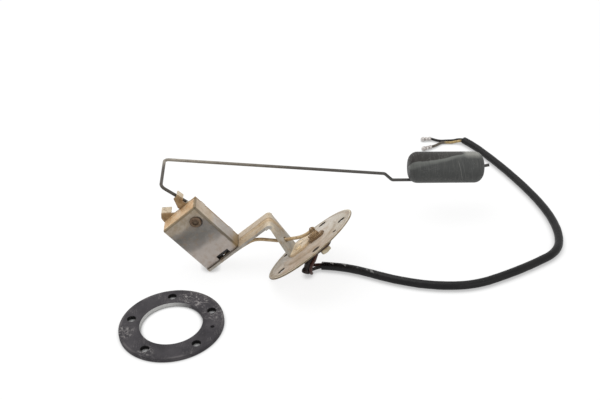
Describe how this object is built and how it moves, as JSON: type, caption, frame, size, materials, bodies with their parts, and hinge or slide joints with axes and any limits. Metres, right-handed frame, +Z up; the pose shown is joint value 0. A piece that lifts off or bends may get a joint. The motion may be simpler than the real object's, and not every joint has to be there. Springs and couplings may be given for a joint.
{
  "type": "fuel level sender",
  "caption": "Fuel level sender with a float on a bent wire arm, sheet-metal housing, bracket, round bolted flange, cable and a loose seal ring.",
  "frame": {"origin": "centre of the bounding box of the parts without the free cable, on the bench plane", "axes": "+X from the housing towards the float's end, +Y away from the viewer, +Z up from the bench"},
  "size_m": [0.3023, 0.2477, 0.0614],
  "materials": {
    "zinc_plate": "zinc-plated, yellow passivated, aged",
    "cover_zinc": "dull zinc-plated sheet",
    "stop_plate": "aged brass-coloured sheet",
    "spring_brass": "dull brass",
    "card_board": "black laminate",
    "resist_wire": "fine bare wire",
    "wire_steel": "bare wire, rust-browned",
    "float_foam": "closed-cell nitrile foam, soft sheen",
    "fibre": "red-brown fibre",
    "block_resin": "dark brown moulded resin",
    "lead_tan": "tan insulation",
    "core_signal": "tan-yellow insulation",
    "core_black": "black insulation",
    "sleeve_black": "black soft sleeve, glossy",
    "crimp_tin": "tinned brass",
    "gasket_rubber": "charcoal rubber, chalky scuffs"
  },
  "bodies": {
    "sender": {"flange_plate": "zinc_plate", "bracket_strip": "zinc_plate", "back_plate": "stop_plate", "housing_cover": "cover_zinc", "cover_eyelet": "cover_zinc", "pivot_bush": "spring_brass", "card_post_left": "spring_brass", "card_post_right": "spring_brass", "resistor_card": "card_board", "resistance_winding": "resist_wire", "card_terminal": "crimp_tin", "inner_lead": "lead_tan", "lead_tag": "spring_brass", "inner_insulator": "fibre", "clamp_plate": "spring_brass", "inner_nut": "spring_brass", "terminal_stud": "spring_brass", "outer_block": "block_resin", "outer_tag": "spring_brass", "outer_nut": "spring_brass", "earth_tag": "crimp_tin", "earth_rivet": "cover_zinc", "mounting_gasket": "gasket_rubber", "signal_core": "core_signal", "earth_core": "core_black", "cable_sleeve": "sleeve_black", "signal_tail": "core_signal", "earth_tail": "core_black", "signal_bullet": "crimp_tin", "earth_bullet": "crimp_tin"},
    "float_arm": {"pivot_shaft": "wire_steel", "wiper_arm": "spring_brass", "wiper_contact": "crimp_tin", "arm_lever": "zinc_plate", "float_wire": "wire_steel", "float_body": "float_foam"}
  },
  "joints": [
    {"name": "arm_pivot", "type": "hinge", "parent": "sender", "child": "float_arm", "pos_m": [-0.0783, 0.0255, 0.04148], "axis": [0, -1, 0], "range_deg": [0, 36]}
  ]
}
